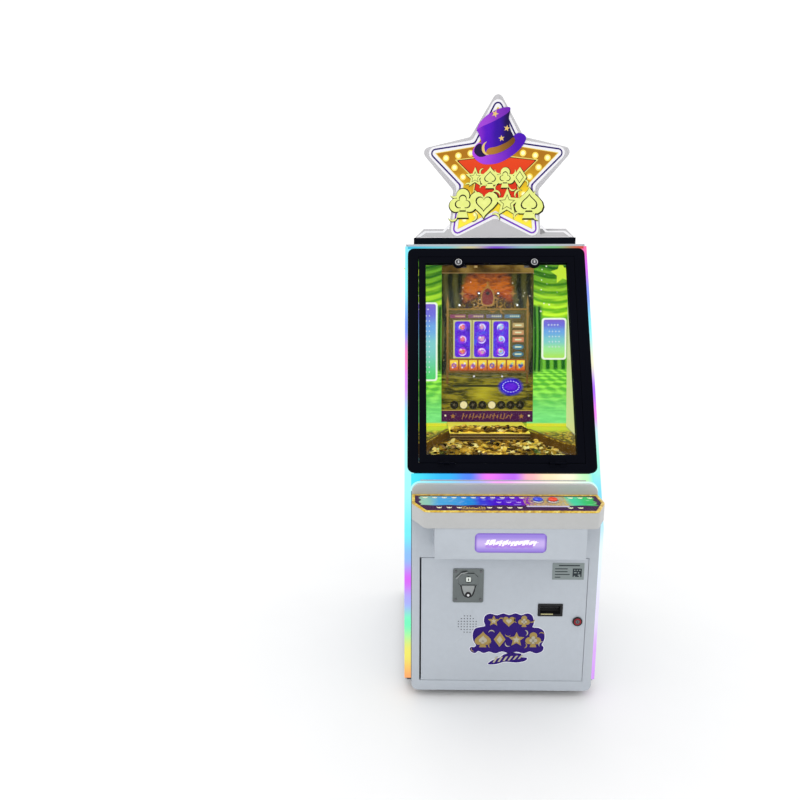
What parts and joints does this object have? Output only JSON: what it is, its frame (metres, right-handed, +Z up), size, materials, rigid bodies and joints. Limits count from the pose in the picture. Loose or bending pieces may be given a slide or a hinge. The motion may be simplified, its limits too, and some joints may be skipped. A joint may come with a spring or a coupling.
{
  "type": "coin pusher machine",
  "caption": "Arcade coin pusher cabinet with sloping glass door, coin playfield, control shelf, hinged service door and star sign.",
  "frame": {"origin": "centre of the footprint on the floor under the levelling feet", "axes": "+Z up, -Y towards the player, +X to the player's right"},
  "size_m": [0.704, 0.912, 2.189],
  "materials": {
    "white_steel": "satin powder coat",
    "white_board": "white laminated board",
    "black_board": "black laminated board",
    "base_steel": "black enamel",
    "black_frame": "black satin anodised",
    "black_bar": "dark satin paint",
    "zinc": "plated",
    "bright_steel": "polished",
    "bare_aluminium": "satin",
    "cast_zinc": "satin die casting",
    "glass": "clear",
    "clear_acrylic": "clear",
    "diffuser": "milky, lit from behind",
    "lit_window": "milky, lit from behind",
    "deck_print": "back-printed sheet",
    "gilt": "gold foil print",
    "sign_print": "printed, lit",
    "wall_print": "printed board",
    "board_print": "printed sheet",
    "deck_side_print": "printed sheet",
    "screen": "display glass",
    "placard_print": "printed, lit",
    "canopy_brown": "glossy",
    "coin_brass": "worn",
    "blue_plastic": "translucent",
    "red_plastic": "translucent",
    "bezel_plastic": "chromed plastic",
    "black_plastic": "moulded",
    "grey_plastic": "moulded",
    "plate_print": "printed film",
    "circuit_board": "solder mask",
    "target_plastic": "lit lens"
  },
  "bodies": {
    "cabinet": {"base_frame": "base_steel", "levelling_feet": "zinc", "side_panel_left": "white_board", "side_panel_right": "white_board", "roof_panel": "black_board", "rear_panel": "white_board", "power_inlet": "black_plastic", "front_cabinet": "white_steel", "shelf_housing": "white_steel", "sub_box": "white_steel", "sign_window_lens": "lit_window", "deck_panel": "deck_print", "deck_trim": "gilt", "button_bezels": "bezel_plastic", "edge_lights": "diffuser", "outer_frame": "black_frame", "glass_hinge_leaves": "base_steel", "top_bar": "black_bar", "sign_board": "clear_acrylic", "sign_art": "sign_print", "back_wall": "wall_print", "playfield_board": "board_print", "display_panel": "screen", "playfield_cover": "clear_acrylic", "placards": "placard_print", "canopy": "canopy_brown", "side_decks": "deck_side_print", "bed_plate": "bare_aluminium", "bed_coins": "coin_brass", "target_rail": "zinc", "pusher_motor": "base_steel", "coin_chute": "zinc", "coin_hopper": "black_plastic", "coin_lift": "zinc", "power_supply": "zinc", "main_board": "circuit_board"},
    "service_door": {"service_door": "white_steel", "coin_acceptor_plate": "cast_zinc", "coin_acceptor_body": "black_plastic", "acceptor_screws": "zinc", "ticket_bezel": "black_plastic", "ticket_dispenser": "grey_plastic", "speaker": "black_plastic", "door_plates": "plate_print", "door_lock_body": "black_plastic"},
    "door_lock": {"door_lock_plug": "bright_steel"},
    "coin_return": {"coin_return_button": "black_plastic"},
    "glass_door": {"glass_door_frame": "black_frame", "front_glass": "glass"},
    "glass_lock_l": {"glass_lock_left": "bright_steel"},
    "glass_lock_r": {"glass_lock_right": "bright_steel"},
    "blue_play_button": {"blue_button": "blue_plastic"},
    "red_play_button": {"red_button": "red_plastic"},
    "nozzle": {"coin_nozzle": "coin_brass"},
    "target": {"target_carriage": "target_plastic"},
    "screw": {"target_screw": "zinc"},
    "pusher": {"pusher": "bare_aluminium"},
    "crank": {"crank_disc": "zinc"},
    "rod": {"connecting_rod": "zinc"},
    "disc": {"hopper_disc": "bare_aluminium"}
  },
  "joints": [
    {"name": "service_door_hinge", "type": "hinge", "parent": "cabinet", "child": "service_door", "pos_m": [-0.28325, -0.334, 0.3], "axis": [0, 0, -1], "range_deg": [0, 105]},
    {"name": "door_lock_turn", "type": "hinge", "parent": "service_door", "child": "door_lock", "pos_m": [0.264, -0.344, 0.308], "axis": [0, 1, 0], "range_deg": [0, 90]},
    {"name": "coin_return_press", "type": "slide", "parent": "service_door", "child": "coin_return", "axis": [0, 1, 0], "range_m": [0, 0.0035], "stiffness_N_per_m": 300, "springref_m": -0.004},
    {"name": "glass_door_hinge", "type": "hinge", "parent": "cabinet", "child": "glass_door", "pos_m": [0, -0.21395, 0.85404], "axis": [1, 0, 0], "range_deg": [0, 95]},
    {"name": "glass_lock_left_turn", "type": "hinge", "parent": "glass_door", "child": "glass_lock_l", "pos_m": [-0.146, 0.09705, 1.56517], "axis": [0, -0.9178, 0.3971], "range_deg": [0, 90]},
    {"name": "glass_lock_right_turn", "type": "hinge", "parent": "glass_door", "child": "glass_lock_r", "pos_m": [0.146, 0.09705, 1.56517], "axis": [0, -0.9178, 0.3971], "range_deg": [-90, 0]},
    {"name": "blue_button_press", "type": "slide", "parent": "cabinet", "child": "blue_play_button", "axis": [0, 0, -1], "range_m": [0, 0.004], "stiffness_N_per_m": 400, "springref_m": -0.004},
    {"name": "red_button_press", "type": "slide", "parent": "cabinet", "child": "red_play_button", "axis": [0, 0, -1], "range_m": [0, 0.004], "stiffness_N_per_m": 400, "springref_m": -0.004},
    {"name": "coin_nozzle_swing", "type": "hinge", "parent": "cabinet", "child": "nozzle", "pos_m": [-0.055, 0.31381, 1.57112], "axis": [0, 0.1633, 0.9866], "range_deg": [-20, 20]},
    {"name": "target_slide", "type": "slide", "parent": "cabinet", "child": "target", "axis": [1, 0, 0], "range_m": [-0.2, 0]},
    {"name": "target_screw_turn", "type": "hinge", "parent": "cabinet", "child": "screw", "pos_m": [0, 0.31751, 1.04242], "axis": [1, 0, 0], "range_deg": [-1800, 0]},
    {"name": "pusher_slide", "type": "slide", "parent": "cabinet", "child": "pusher", "axis": [0, -1, 0], "range_m": [-0.06, 0]},
    {"name": "crank_turn", "type": "hinge", "parent": "cabinet", "child": "crank", "pos_m": [0, 0.245, 0.77], "axis": [0, 0, 1], "range_deg": [-180, 0]},
    {"name": "connecting_rod_swing", "type": "hinge", "parent": "pusher", "child": "rod", "pos_m": [0, 0.335, 0.794], "axis": [0, 0, 1], "range_deg": [-14.5, 14.5]},
    {"name": "hopper_disc_turn", "type": "hinge", "parent": "cabinet", "child": "disc", "pos_m": [0, 0.03, 0.289], "axis": [0, 0, 1], "continuous": true}
  ],
  "couplings": [
    {"joint": "target_screw_turn", "follows": "target_slide", "rad_per_m": 157.08},
    {"joint": "crank_turn", "follows": "pusher_slide", "rad_per_m": 52.359}
  ]
}
